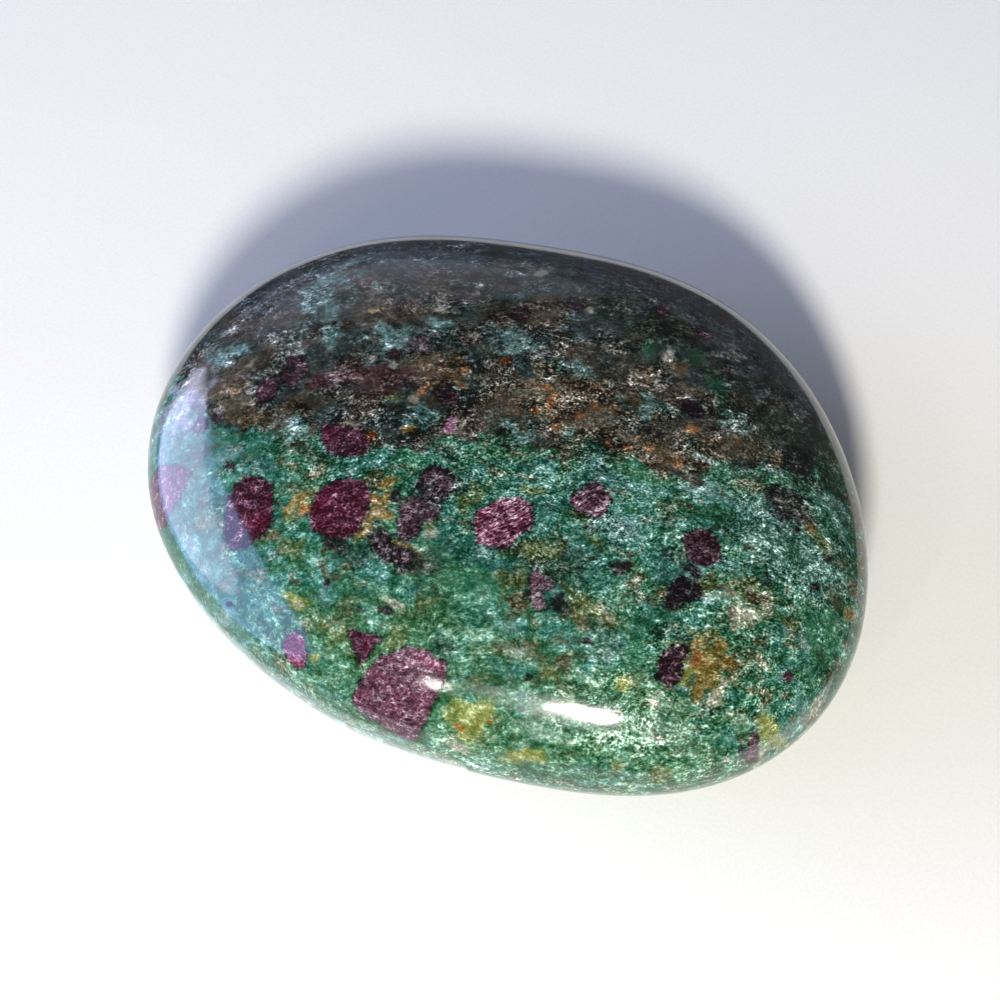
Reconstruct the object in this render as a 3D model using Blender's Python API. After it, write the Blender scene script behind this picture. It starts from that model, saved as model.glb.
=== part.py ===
"""A polished palm stone of ruby in fuchsite, lying on its broad underside.

The stone is one solid: a flattened pebble, longest along X and thinnest along Z. The origin is
on the face it rests on, under the middle of its box. Lengths are in metres.
"""

import math

import bmesh
import bpy
import numpy as np
from mathutils import Vector

MM = 0.001

# The girdle is the widest line round the stone, seen from above: its distance from the middle
# every 30 degrees, anticlockwise from +X.
GIRDLE_RADII_MM = (33, 30, 28, 26, 26, 30, 33, 32, 28, 26, 27, 32)
GIRDLE_HEIGHT = 11.0 * MM  # above the face that the stone rests on
CROWN_RISE = 11.0 * MM  # from the girdle up to the top
BELLY_DROP = 11.3 * MM  # from the girdle down to where the underside would end, were it not ground flat
SECTION_POWER = 3.0  # 2 would be an ellipse: 3 is flatter on top, with a tighter shoulder

SPHERE_SUBDIVISIONS = 5
SNAP_TO_CUT = 0.01 * MM  # points this near to the resting face are moved onto it

STONE_GREEN = (0.035, 0.16, 0.11, 1.0)
POLISH_ROUGHNESS = 0.12


def clear_scene():
    for obj in list(bpy.data.objects):
        bpy.data.objects.remove(obj)


def girdle_radius(angle):
    """The distance from the middle to the girdle: a smooth closed curve through the radii, made of waves."""
    radii = np.array(GIRDLE_RADII_MM) * MM
    waves = np.fft.rfft(radii) / len(radii)
    shortest_wave = len(radii) // 2
    radius = waves[0].real
    for turns in range(1, shortest_wave + 1):
        share = 1 if turns == shortest_wave else 2
        radius += share * (waves[turns] * np.exp(1j * turns * angle)).real
    return float(radius)


def surface_point(direction):
    """Where a point of the unit sphere lands on the stone. Its reach is 0 in the middle and 1 on the girdle."""
    reach = min(1.0, math.hypot(direction.x, direction.y))
    angle = math.atan2(direction.y, direction.x)
    radius = reach * girdle_radius(angle)
    full_height = CROWN_RISE if direction.z > 0 else -BELLY_DROP
    height = full_height * math.sqrt(1.0 - reach**SECTION_POWER)
    return Vector((radius * math.cos(angle), radius * math.sin(angle), GIRDLE_HEIGHT + height))


def grind_flat(mesh):
    """Cuts the underside at height 0 and closes the cut with one flat face."""
    everything = mesh.verts[:] + mesh.edges[:] + mesh.faces[:]
    cut = bmesh.ops.bisect_plane(
        mesh,
        geom=everything,
        dist=SNAP_TO_CUT,
        plane_co=(0, 0, 0),
        plane_no=(0, 0, 1),
        use_snap_center=True,
        clear_inner=True,
    )
    rim = [item for item in cut["geom_cut"] if isinstance(item, bmesh.types.BMEdge)]
    bmesh.ops.contextual_create(mesh, geom=rim)


def centre_over_origin(mesh):
    """Puts the middle of the stone's box over the origin, at the same height."""
    for axis in (0, 1):
        places = [vertex.co[axis] for vertex in mesh.verts]
        middle = (min(places) + max(places)) / 2
        for vertex in mesh.verts:
            vertex.co[axis] -= middle


def stone_material():
    material = bpy.data.materials.new("polished_fuchsite")
    material.use_nodes = True
    shader = material.node_tree.nodes["Principled BSDF"]
    shader.inputs["Base Color"].default_value = STONE_GREEN
    shader.inputs["Roughness"].default_value = POLISH_ROUGHNESS
    shader.inputs["Metallic"].default_value = 0.0
    return material


def make_palm_stone():
    solid = bmesh.new()
    bmesh.ops.create_icosphere(solid, subdivisions=SPHERE_SUBDIVISIONS, radius=1.0)
    for vertex in solid.verts:
        vertex.co = surface_point(vertex.co)
    grind_flat(solid)
    centre_over_origin(solid)
    bmesh.ops.recalc_face_normals(solid, faces=solid.faces)
    mesh = bpy.data.meshes.new("palm_stone")
    solid.to_mesh(mesh)
    solid.free()
    mesh.shade_smooth()
    mesh.materials.append(stone_material())
    stone = bpy.data.objects.new("palm_stone", mesh)
    bpy.context.scene.collection.objects.link(stone)
    return stone


clear_scene()
make_palm_stone()
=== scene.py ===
"""The looks of a polished palm stone of ruby in fuchsite.

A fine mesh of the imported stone's own shape stands for its CAD node. The markings are places on two
maps of the surface: millimetres along the stone from the middle of its crown, and from the middle
of its belly. They are stored on the mesh as attributes, and the material breaks them up into grains.
"""
import math

import bmesh
import bpy
import numpy as np
from mathutils import Matrix, Vector, noise


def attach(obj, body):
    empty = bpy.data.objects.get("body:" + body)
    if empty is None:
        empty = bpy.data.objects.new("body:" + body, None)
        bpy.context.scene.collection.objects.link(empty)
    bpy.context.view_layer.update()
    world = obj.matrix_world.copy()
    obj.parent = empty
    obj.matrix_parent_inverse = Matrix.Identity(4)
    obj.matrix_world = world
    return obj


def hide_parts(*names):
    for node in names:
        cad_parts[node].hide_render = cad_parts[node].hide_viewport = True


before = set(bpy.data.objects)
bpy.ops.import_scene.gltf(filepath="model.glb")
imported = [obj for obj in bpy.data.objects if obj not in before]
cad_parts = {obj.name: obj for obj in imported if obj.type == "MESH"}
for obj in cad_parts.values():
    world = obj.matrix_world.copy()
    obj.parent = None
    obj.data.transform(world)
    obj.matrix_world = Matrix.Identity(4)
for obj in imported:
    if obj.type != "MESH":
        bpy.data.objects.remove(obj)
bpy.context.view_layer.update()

MM = 0.001
SEED = 7

# The stone's shape, as in the CAD: the girdle is its widest line, seen from above.
GIRDLE_RADII_MM = (33, 30, 28, 26, 26, 30, 33, 32, 28, 26, 27, 32)
GIRDLE_HEIGHT_MM = 11.0
CROWN_RISE_MM = 11.0
BELLY_DROP_MM = 11.3
SECTION_POWER = 3.0
SKIN_STEPS_ACROSS = 150  # quads along each side of the crown and of the belly
SKIN_STEPS_TALL = 84  # quads from the crown down to the belly
ARC_STEPS = 64
CUBE_WELD = 0.001  # grid corners of the cube this near to each other are one
INSIDE_CAD = 0.9995  # keeps the skin, which is smoother than the faceted solid, inside its box

# The camera looks down on the stone from the front right.
CAMERA_AZIMUTH = 28
CAMERA_ELEVATION = 60
CAMERA_DISTANCE = 0.245
CAMERA_AIM = (-0.001, -0.001, 0.011)
CAMERA_LENS_MM = 100
CAMERA_CLIP_START = 0.01

FOLIATION_TURN = 28  # the mica lies along this direction, in degrees from +X
GRAIN_STRETCH = 1.35  # grains are this much longer along the foliation than across it
GRAIN_SWAY_MM = 1.6
SWAY_SIZE_MM = 6.0

# Rubies on the crown: name, redness, darkness, frost on the polish, and the outline.
CROWN_RUBIES = (
    ("far_left", 0.6, 0.45, 0.05, (
        (-29.2, -14.6), (-27, -14.3), (-24.8, -14.6), (-24.6, -16), (-25.3, -17.5), (-26.8, -19.6),
        (-28.5, -20.5), (-29.8, -20.3), (-31, -18.5), (-31.8, -17), (-30.6, -16))),
    ("left", 0.6, 0.8, 0.2, (
        (-19, -13.3), (-16.5, -13.3), (-15.8, -14.3), (-14.7, -16.5), (-15.1, -17.5), (-16.3, -19.2),
        (-17.5, -19.7), (-18.6, -18.9), (-19.2, -17.2), (-19.7, -15.8), (-19.6, -14.6))),
    ("upper_left", 0.5, 0.8, 0.2, (
        (-14.8, -6.4), (-13.9, -6.2), (-12.8, -5.9), (-11.7, -5.5), (-10.8, -6.4), (-10.1, -7.1),
        (-10.4, -7.8), (-11.7, -8.7), (-13.1, -8.9), (-14.2, -8.1), (-14.8, -7.3))),
    ("mid_left", 0.75, 0.74, 0.3, (
        (-10.4, -10.3), (-8.9, -10), (-8.1, -10.8), (-7.5, -12.5), (-7.3, -14.4), (-8.1, -15.3),
        (-9.4, -15.7), (-11, -15.6), (-11.9, -14.7), (-12.2, -13.5), (-12.1, -12.1), (-11.4, -11.1))),
    ("plum_square", 0.15, 0.78, 0.45, (
        (-4.9, -6.4), (-3.9, -5.9), (-2.2, -6.2), (-1.9, -7.8), (-2.3, -9.2), (-3.4, -9.3), (-4.9, -8.6))),
    ("plum_tail", 0.3, 0.62, 0.35, (
        (-5, -9.4), (-3.2, -9.3), (-1.9, -9.6), (-2.1, -10.6), (-2.9, -11.6), (-2.6, -12.6),
        (-3.2, -13.5), (-4.2, -13.2), (-4.6, -12), (-5.1, -10.8))),
    ("under_plum", 0.15, 0.88, 0.3, (
        (-5.9, -13.8), (-5.2, -13.3), (-4.4, -14), (-3.3, -14.2), (-2.4, -13.9), (-1.9, -15.1), (-2.9, -15.6),
        (-4.2, -15.4), (-5.5, -15.2))),
    ("centre", 0.8, 0.58, 0.8, (
        (3.5, -5.4), (4.6, -5.7), (5.5, -6.9), (5.6, -7.7), (4.9, -8.7), (4.7, -9.9), (3.5, -10.6),
        (2.2, -10.8), (1.3, -9.6), (0.8, -8.5), (1.3, -7.4), (2.1, -6.3))),
    ("centre_right", 0.5, 0.55, 0.75, (
        (8, -1.3), (8.9, -1.2), (10, -2), (10.4, -3.1), (10.2, -3.9), (9, -4.2), (7.5, -4.1),
        (7.2, -3.2), (7.6, -2))),
    ("right", 0.4, 0.8, 0.35, (
        (17, -1.9), (17.8, -1), (18.7, -0.4), (19.8, -0.8), (20.6, -2), (20.3, -3), (19.6, -3.6),
        (18.3, -3.6), (17.4, -2.8))),
    ("black_wedge", 0.1, 0.95, 0.2, (
        (18.4, -5.3), (19.5, -5.1), (20.4, -5.3), (20.8, -5.9), (20, -7), (19.3, -8.1), (18.7, -8.6),
        (18.2, -7.8), (18.1, -6.5))),
    ("split_wedge", 0.35, 0.85, 0.35, (
        (20.8, -10.9), (21.5, -10.4), (22, -10.6), (21.9, -11.6), (22.4, -13.2), (22.2, -13.9),
        (20.7, -14), (20.3, -12.9), (20.3, -11.8))),
    ("front_square", 0.55, 0.45, 0.3, (
        (0, -22.2), (1, -21.2), (2.2, -20.9), (4.6, -21), (5.1, -22.4), (5, -24.5), (4.9, -27),
        (4.7, -29.2), (3.2, -29.5), (-1.3, -28.6), (-2.1, -27.8), (-2, -26.6), (-1.4, -24.6), (-0.8, -22.9))),
    ("front_triangle", 0.6, 0.7, 0.1, ((-4.4, -22.1), (-1.4, -21.5), (-2.2, -24.6))),
    ("front_pink", 1, 0.4, 0.2, (
        (-9.2, -24.2), (-8.3, -24), (-7.8, -24.8), (-7.3, -25.8), (-7.4, -26.8), (-8.4, -27.3),
        (-9.3, -26.7), (-9.9, -25.6))),
    ("hook_bar", 0.35, 0.35, 0.5, ((7.4, -10.7), (9.6, -10.9), (9.4, -11.8), (7.6, -11.9))),
    ("hook_arm", 0.35, 0.35, 0.6, ((7.7, -11.8), (8.9, -12), (10, -13.3), (9.3, -13.8), (8.2, -13))),
    ("small_crimson", 0.7, 0.3, 0.7, ((-5.5, -1), (-4.7, -1.2), (-4.6, -2.6), (-5.2, -3.1), (-5.7, -2))),
    ("upper_right", 0.2, 1, 0.05, (
        (10.8, 9.9), (11.6, 10.5), (12.8, 10.2), (13.3, 9.5), (12.6, 8.9), (11.5, 8.9), (10.7, 9.3))),
    ("upper_mid", 0.35, 0.75, 0.5, ((-8.2, 0.2), (-7.3, 1.2), (-5.8, 1.3), (-5.6, 0.3), (-6.8, -0.3))),
    ("left_dim", 0.3, 0.75, 0.1, ((-21.6, -1.6), (-20.2, -1.2), (-18.9, -2.4), (-19.4, -4.5), (-21, -3.8))),
    ("left_rust", 0.35, 0.65, 0.1, ((-22.3, -4.3), (-21, -4.1), (-20.5, -5.6), (-21.4, -7), (-22.4, -5.8))),
    ("right_streak", 0.55, 0.5, 0.3, (
        (30.3, -12.9), (31.6, -13.6), (32.7, -14.6), (33.6, -15), (32.6, -15.6), (31.6, -14.8),
        (30.8, -13.7))),
    ("far_mid", 0.2, 0.5, 0.3, ((-12.7, 4.4), (-11.6, 5), (-10.4, 4.6), (-10.7, 3.7), (-12, 3.5))),
    ("far_tall", 0.15, 0.8, 0.1, ((-2.6, 14.6), (-1.8, 15.4), (-0.8, 15), (-0.9, 14), (-2, 13.8))),
)

# Round ruby grains: along, across, radius, redness, darkness.
CROWN_RUBY_DOTS = (
    (-20.9, -13.1, 0.42, 0.2, 0.6), (30.6, -7.6, 0.45, 0.5, 0.7), (-25.8, -10.4, 0.65, 0.3, 0.6),
    (-5.3, 11.1, 0.8, 0.3, 0.75), (5.1, 18.6, 0.75, 0.35, 0.8), (9.2, 18.3, 0.85, 0.3, 0.8),
    (-11, 10.1, 0.5, 0.2, 0.8), (-12.9, 2.3, 0.6, 0.25, 0.75), (-24.5, -9.1, 0.45, 0.25, 0.65),
    (2.7, 22.5, 0.6, 0.1, 0.85), (14.3, 19.3, 0.6, 0.15, 0.9),
)

# Where the brown schist meets the green fuchsite, from left to right. The schist is beyond it.
CROWN_SEAM = (
    (-42, -3), (-33, -5), (-26, -10), (-20, -9.5), (-15, -8.3), (-10, -7), (-7.5, -5.7), (-5, -4.5),
    (-3, -3), (0, 1), (2, 0.8), (3.5, -1.5), (4.3, -2.3), (4.8, -0.5), (4.2, 1.6), (8.3, 1.6),
    (9.8, 3), (13, 1.8), (15.3, 3.5), (18, 6.5), (20.5, 9), (23, 9.5), (25, 14), (26, 42),
)
BELLY_SEAM = (
    (-42, -3), (-33, -4), (-24, -7), (-14, -3), (-6, 2), (4, 0), (10, 7), (17, 9), (22, 18), (26, 42),
)

# Soft patches on the crown: along, across, half length, half width, and turn in degrees.
CROWN_PATCHES = {
    "ochre": (
        (-6.7, -11.2, 1.6, 0.55, 85), (-7.1, -13.6, 1.6, 0.45, 88), (-5.9, -12.1, 0.8, 0.35, 20),
        (-13.4, -14.1, 1.7, 1, 75), (-7, -9.3, 0.7, 0.5, 60), (-8.1, -4, 0.8, 0.5, 20),
        (-3.1, -13.9, 1.2, 0.6, 0),
        (23.8, -10.6, 2.3, 1.7, 80), (24.5, -12.8, 1.4, 0.8, 80),
        (33.5, 1.3, 1.3, 0.7, 30), (25.9, 5.6, 1.2, 0.6, -20),
        (-17.1, 5.9, 0.6, 0.4, 0),
    ),
    "orange": (
        (-7.5, -11.2, 0.6, 0.35, 80), (-12.5, -14.3, 0.7, 0.4, 80), (-10.8, -6.1, 0.7, 0.4, 60),
        (7.9, -25.6, 0.45, 0.35, 0), (10.2, -23.8, 0.4, 0.3, 60), (22.7, -11, 0.9, 0.4, 80),
        (-4.1, 6, 0.6, 0.45, 40), (1.2, 4.3, 1, 0.35, -70), (0.4, 5.3, 0.5, 0.3, 60),
        (0.5, 2.8, 0.5, 0.3, 0), (4.7, 5.7, 0.4, 0.3, 0), (7.4, 2.8, 0.45, 0.35, 0),
        (9.2, 3.2, 0.4, 0.3, 0), (13.7, 3.8, 0.55, 0.4, 80), (13.1, 7.7, 0.55, 0.4, 20),
        (-8.8, 0, 0.9, 0.35, 85), (-6.7, 3.7, 0.5, 0.3, 40), (-6.1, 2, 0.4, 0.3, 0),
        (2.9, 2.1, 0.4, 0.3, 0), (4.1, 4, 0.4, 0.3, 0), (10.8, 4, 0.5, 0.3, 0),
        (-24.3, -6.4, 0.4, 0.3, 0),
    ),
    "rust": (
        (3, 4.5, 6, 3.2, 10), (11, 4.2, 4, 1.8, 5), (7.4, 10.8, 1.1, 0.9, 50), (9, 12.9, 1.1, 0.7, 30),
        (-8, 2.5, 2.8, 1.6, 20), (-25.4, -6.6, 1.8, 0.8, 20), (20.4, 9.8, 1, 0.6, 0),
        (17, 8, 3.2, 1.4, 30),
        (30, 11, 2.2, 1.3, -40), (32.8, 3.8, 1.3, 1, 0), (12.5, 2.9, 0.8, 0.9, 0),
        (-22, -8.2, 3.4, 1.4, 5),
    ),
    "olive": (
        (-11.1, -1.6, 0.9, 0.6, 0), (-12, -17.7, 1, 0.9, 0), (3.9, -4.4, 1.1, 0.4, 10),
        (11, -6.2, 0.7, 0.4, 0), (7.8, -8.6, 1.2, 0.7, 10), (-0.2, -7.6, 0.7, 1.6, 0),
        (6.3, -9.4, 0.7, 0.9, 0), (23.3, -2.9, 2.2, 0.9, 15),
        (28.2, -3.6, 1.3, 0.5, 10), (22.6, -8.9, 1.5, 0.7, 0),
        (-0.3, -21, 1.1, 1, 0), (25.9, -20.8, 1.2, 0.7, 20),
        (22, -22.3, 1, 0.9, 0), (-2, -11, 0.6, 1.2, 0),
        (1.2, -17.3, 1, 0.6, 70),
        (12.4, -17.8, 0.9, 0.7, 0),
        (12.8, -11.2, 0.8, 0.4, -10),
        (12.5, -12.6, 0.8, 0.5, 0),
        (6.3, -12.3, 1.4, 1, 60),
        (20.8, -4.9, 1.1, 0.8, 60),
        (25.4, -12, 1, 1.8, 0), (-5.5, -22.8, 1.5, 1, 0), (26.8, 5.2, 1.6, 0.8, -20),
        (13.6, -11.4, 3, 0.8, -8),
        (0.1, -17.5, 0.4, 0.6, 0),
    ),
    "dark": (
        (23.3, 5.9, 3, 1.3, 0), (19, -4.4, 1.1, 0.5, 0), (-8.6, -16, 1.1, 0.8, 10),
        (-5.7, -14.2, 0.9, 0.9, 0),
        (-2.8, -14.8, 1.8, 1, -15), (-5.7, -10.3, 0.45, 0.6, 0), (-2.1, -19.3, 0.75, 0.4, 10),
        (-4, -20.2, 0.5, 0.3, 30), (-7.8, -19.2, 0.4, 0.3, 0), (-10.1, -2.5, 0.9, 0.55, 20),
        (10.2, 5.6, 1.8, 0.6, 10), (13.6, -7.3, 0.7, 0.8, 0), (28.5, 4.1, 0.6, 0.5, 0),
        (28.7, 0.5, 0.5, 0.4, 0), (22, 11.2, 1.5, 1.6, 0), (22, 16.1, 0.8, 1.1, 0),
        (11.2, -19, 0.5, 0.3, 20), (14.2, -14.2, 0.5, 0.3, 0), (31.3, -15, 0.9, 0.4, -20),
        (-16.5, -24.2, 0.5, 0.3, 20), (10.9, -12.6, 1.1, 0.8, 0), (10.2, -2.1, 0.5, 0.3, -40),
    ),
    "cream": (
        (-6.2, 17.2, 0.75, 0.45, 60), (-24.6, -3.4, 0.55, 0.35, 60), (-1.6, -12, 0.9, 0.7, 45),
        (24.6, -5.6, 1.4, 0.8, 20), (24.4, -6.9, 0.5, 0.3, 0), (-9.2, -1, 0.5, 0.35, 0),
        (-13, -5.7, 0.6, 0.3, 10), (-12.6, 1.1, 0.4, 0.3, 0), (-14.6, 1.2, 0.4, 0.3, 0),
        (-17, 5.8, 0.4, 0.3, 0), (-10.3, 12.4, 0.6, 0.25, 60), (-11.8, 8.5, 0.5, 0.35, 30),
        (8, 13.5, 0.8, 0.6, 0), (19.4, -17.9, 0.5, 0.3, 0), (23.3, -18, 0.6, 0.35, 0),
        (21.6, -15.7, 0.6, 0.3, 20), (30.3, -16.3, 0.6, 0.3, 0), (33.8, -14.4, 1.4, 0.7, -40),
        (-1.6, -18.5, 1, 0.35, 0), (4.6, 8.3, 0.5, 0.3, 0), (14.8, -11.4, 1, 0.3, -15),
        (22.4, 5.9, 0.5, 0.25, 20), (9.9, -1.5, 0.6, 0.3, -30), (18.6, -5.5, 0.3, 0.25, 0),
        (25.9, -12, 0.35, 1.3, 0), (-9.3, -21.8, 0.6, 0.35, 0), (21.8, -13.95, 0.9, 0.3, 0),
        (32.3, -13.8, 1, 0.3, -40), (22.4, -4.3, 0.9, 0.5, 0), (24, -3.2, 0.5, 0.3, 0),
        (8.8, -27.5, 1.1, 0.5, 0), (-0.4, 14.7, 0.4, 0.5, 0), (21.9, -12.9, 0.9, 0.12, 55),
    ),
    "emerald": (
        (-6.4, -6.3, 1.2, 0.8, 10), (11.7, 1.6, 2.8, 1, 5), (12.1, -2, 0.6, 0.5, 0),
        (18, -12.7, 1.6, 2, 0), (12.7, 13.4, 1.1, 1, 0), (14.2, 11.6, 1.4, 0.5, -60),
        (5.6, 13.6, 0.7, 1.2, 0), (10, 15.2, 1.1, 0.8, 0), (22, 7.7, 1.4, 0.7, 10),
        (32, -2, 2.2, 2.2, 0), (-5.2, -12.8, 0.7, 0.7, 0), (5.8, -25, 0.8, 1.1, 0),
        (-26, -21.4, 3, 1.1, -20), (3, -14, 3, 2, 0), (25, 2, 2, 1, 20),
    ),
    "mica": (
        (-22, 6.5, 2.2, 4.5, 0), (-19.2, 2.1, 1, 1.5, 0), (-14.6, 3.8, 1.8, 1.3, 0),
        (-11.5, 7, 1.2, 0.8, 0), (-7.5, -2.2, 1.8, 1.3, 0), (-4.5, 8.2, 1.8, 1.6, 0),
        (0.8, 7.8, 1.6, 0.8, 0), (8.9, 8.2, 1.7, 1.5, 0), (14.8, 6.1, 2, 0.9, 0),
        (16.2, 10.4, 1.4, 1.4, 0), (15.5, 2.1, 1.1, 0.7, 0), (4.4, 1.9, 1.2, 1, 0),
        (7, 0.8, 2.2, 0.9, 0), (7.6, 5.6, 1.4, 0.6, 0), (-16.8, -8, 1.4, 1.2, 0),
        (-18.8, -11.5, 1.2, 1.5, 0), (-26.7, -2.1, 1.2, 0.7, 0), (-28, -3.5, 2, 0.8, 0),
        (2.1, -18.5, 1.4, 0.7, 0),
        (25, 3, 5.5, 4.5, 0), (24.4, 9.9, 1.4, 0.8, 0), (11, -4.4, 2, 1.2, 10),
        (15.5, -13.5, 1.9, 1.3, 0), (20, -19, 7, 2, 12), (1.8, 8.3, 1.6, 0.9, -10),
    ),
    "slate": (
        (-22, 16, 12, 5, 30), (0, 21, 14, 3.5, 5), (-30, 8, 5, 5, 0), (14, 20, 8, 4, -10),
    ),
    "plum": (
        (-13.5, -0.8, 3.6, 1.5, 25), (-11, 0.8, 1, 0.8, 0), (-17, -2.8, 1.4, 0.8, 10),
    ),
    "gold": (
        (8.6, -24.4, 2.1, 1.8, 90), (14.6, -25.2, 2.1, 0.8, 35), (22.9, -12.2, 1.4, 0.4, 75),
        (18.6, -15.8, 0.8, 0.6, 90), (-9.5, -21.6, 1.4, 0.8, 0), (-6.8, -25.6, 0.8, 0.5, 30),
        (34.8, -12.4, 1.2, 0.6, -20), (32, -12.3, 1.6, 1, -20),
    ),
    "spring": ((4, -25, 16, 5, 0), (22, -19, 10, 5, 10), (2, -18.5, 7, 2.6, 10)),
    "shade": (
        (21, 14, 7, 5, -25), (8, -9.5, 4, 1.6, 5), (26, 12, 2, 2, -40), (3, 16.5, 8, 2.6, -5),
        (-0.3, -14.2, 1.2, 0.9, 0), (-4.8, -15.1, 1.3, 0.8, 0), (20.6, -10.2, 2, 0.7, 0),
        (-5.3, -13.6, 1.2, 0.9, 0), (-1.6, -6.9, 0.8, 1.2, 0), (-14.4, -9.6, 2, 0.8, 0),
        (-6.9, -16.3, 1.3, 0.8, 0), (17.4, -3.9, 1.3, 0.8, 0), (25.8, -13.2, 1.2, 1, 0),
        (22.6, -9, 1.4, 0.7, 0), (-0.5, -1, 1.3, 0.8, 0), (-4, -4.4, 1.2, 0.8, 0), (4, -20, 1, 0.7, 0),
    ),
    # pale: a lavender patch on the left shoulder, a painted reflection of the bluish window; the belly's pale
    # patches are painted reflection too
    "pale": ((-29.8, -8.6, 2, 3.4, -10),),
    "calm": ((-27, -16, 5, 9, 0), (-20, -24, 6, 5, -20), (0, 24, 30, 6, 0)),
    "deep": (
        (21, -9.6, 2.6, 1.1, 0), (15.5, -3, 1.4, 0.9, 0), (4.6, -19.8, 1.4, 0.8, 0),
        (22.6, -22.3, 2.2, 0.9, 20),
        (-1.5, -6, 1.2, 1, 0), (-4, -4.5, 1.7, 0.9, 0), (0.6, -11.6, 1.8, 1.3, 0), (-15.2, -19.8, 1.3, 1, 0),
        (-19.4, -10.2, 2.3, 1.1, 0), (-5.5, -15.4, 1.5, 0.8, 0), (27.6, 6.5, 1.6, 0.8, 0),
        (4, -20, 1.3, 0.8, 0), (-3.4, -3.7, 1.6, 0.9, 0), (1.6, -5.1, 1.5, 0.7, 0),
        (-1.5, -17.4, 1.8, 0.9, 0), (5.4, -16.4, 2.2, 1, 20), (12.5, -9.9, 1.5, 0.8, 0),
    ),
    # bright: pale grey-green patches round the front glint, partly the rock's lighter ground and partly
    # painted sheen
    "bright": (
        (24, -17.4, 2.4, 1.3, 20), (14.5, -22.4, 2.4, 0.9, 10), (22.8, -5, 1.3, 0.8, 20),
        (9.6, -17.6, 2, 0.8, 0), (26.4, -17.4, 1.8, 1.1, 20), (29, -13.2, 1.5, 0.8, 0),
        (20.2, -14.3, 0.7, 0.5, 0), (22.4, -15.2, 1.3, 0.6, 0),
    ),
    "sparkle": (
        (4, -3, 15, 8, 10), (24, -6, 8, 13, 0), (4, 5, 12, 6, 5), (-8, -8, 8, 6, 0), (21, 8, 7, 4, 0),
    ),
    # glow: the rubies are made redder and lighter here, a painted glow of light shining into them
    "glow": (
        (-16.1, -17, 0.9, 0.9, 0), (-12, -13, 1.3, 2, 0), (-13.9, -7.2, 0.8, 1.2, 0),
        (3.2, -21.6, 0.8, 0.4, 0), (-12.5, 0.4, 0.9, 0.5, 0),
    ),
}

# Markings that the photograph doesn't show, on the belly and sides. Each pair is the least and the most.
BELLY_REACH_MM = 36.0
BELLY_RUBY_COUNT = 26
BELLY_RUBY_RADII_MM = (0.5, 3.0)
BELLY_RUBY_GAP_MM = 0.8
BELLY_RUBY_LOOKS = ((0.1, 0, 0.1), (0.7, 0.7, 0.7))  # redness, darkness and frost
BELLY_RUBY_SIDES = (6, 7)
BELLY_RUBY_CORNER_SHIFT = 0.22  # how far a corner leaves its even place, as a share of one side
BELLY_RUBY_CORNER_REACH = (0.85, 1.15)
BELLY_RUBY_SQUEEZE = (0.65, 1)
BELLY_PATCH_LENGTHS = (0.35, 1)  # as a share of the kind's longest
BELLY_PATCH_WIDTHS = (0.4, 0.9)  # as a share of the patch's length
BELLY_PATCH_LEAN = 40  # the most that a patch turns from the foliation
# Each kind of patch: how many, and its longest half length.
BELLY_PATCH_COUNTS = {
    "ochre": (16, 1.8), "orange": (10, 0.7), "rust": (9, 3.5), "olive": (14, 1.8), "dark": (12, 1.6),
    "cream": (16, 0.8), "emerald": (14, 2.6), "mica": (20, 3.2), "slate": (4, 6.0), "plum": (4, 2.2),
    "gold": (8, 1.8), "spring": (3, 12), "deep": (16, 2.4), "bright": (8, 2.2), "shade": (4, 6),
    "pale": (4, 2.2), "calm": (3, 10), "sparkle": (6, 12), "glow": (4, 1.2),
}

FARTHEST_MARK_MM = 9.0  # fields of distance are held at this, far from any marking
FAR_OFF_MM = 99.0  # past every marking
PATCH_FADE = (0.3, 1.7)  # where a patch starts to fade and where it ends, as shares of its half length
WARP_SIZE_MM = 1.3
WARP_SHARE = 0.45
WARP_ASIDE = (31.7, 12.3, 5.1)  # from one random field to the other
# The heights between which the crown's map takes over from the belly's, for the marks and for the seam.
MARKS_HANDOVER_MM = (9, 13)
SEAM_HANDOVER_MM = (8, 14)
BELLY_RUBY_RETREAT_MM = 4  # how far the belly's rubies have shrunk where the crown begins


# The skin

def girdle_radius(angle):
    """The distance in mm from the middle to the girdle: a smooth closed curve through the radii."""
    waves = np.fft.rfft(GIRDLE_RADII_MM) / len(GIRDLE_RADII_MM)
    shortest_wave = len(GIRDLE_RADII_MM) // 2
    radius = np.full(angle.shape, waves[0].real)
    for turns in range(1, shortest_wave + 1):
        share = 1 if turns == shortest_wave else 2
        radius += share * (waves[turns] * np.exp(1j * turns * angle)).real
    return radius


def skin_of_quads():
    """The skin of a cube from -1 to 1, in six grids of quads joined at their edges."""
    skin = bmesh.new()
    outward = Matrix.Translation((0, 0, 1))
    for turn in (0, 180):
        side = Matrix.Rotation(math.radians(turn), 4, "X") @ outward
        bmesh.ops.create_grid(
            skin, x_segments=SKIN_STEPS_ACROSS, y_segments=SKIN_STEPS_ACROSS, size=1, matrix=side)
    for turn in (0, 90, 180, 270):
        upright = Matrix.Rotation(math.radians(90), 4, "Y") @ outward
        side = Matrix.Rotation(math.radians(turn), 4, "Z") @ upright
        bmesh.ops.create_grid(
            skin, x_segments=SKIN_STEPS_TALL, y_segments=SKIN_STEPS_ACROSS, size=1, matrix=side)
    bmesh.ops.remove_doubles(skin, verts=skin.verts, dist=CUBE_WELD)
    bmesh.ops.recalc_face_normals(skin, faces=skin.faces)
    mesh = bpy.data.meshes.new("ruby_in_fuchsite_stone")
    skin.to_mesh(mesh)
    skin.free()
    return mesh


def vertex_points(mesh):
    points = np.empty(len(mesh.vertices) * 3)
    mesh.vertices.foreach_get("co", points)
    return points.reshape(-1, 3)


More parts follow.
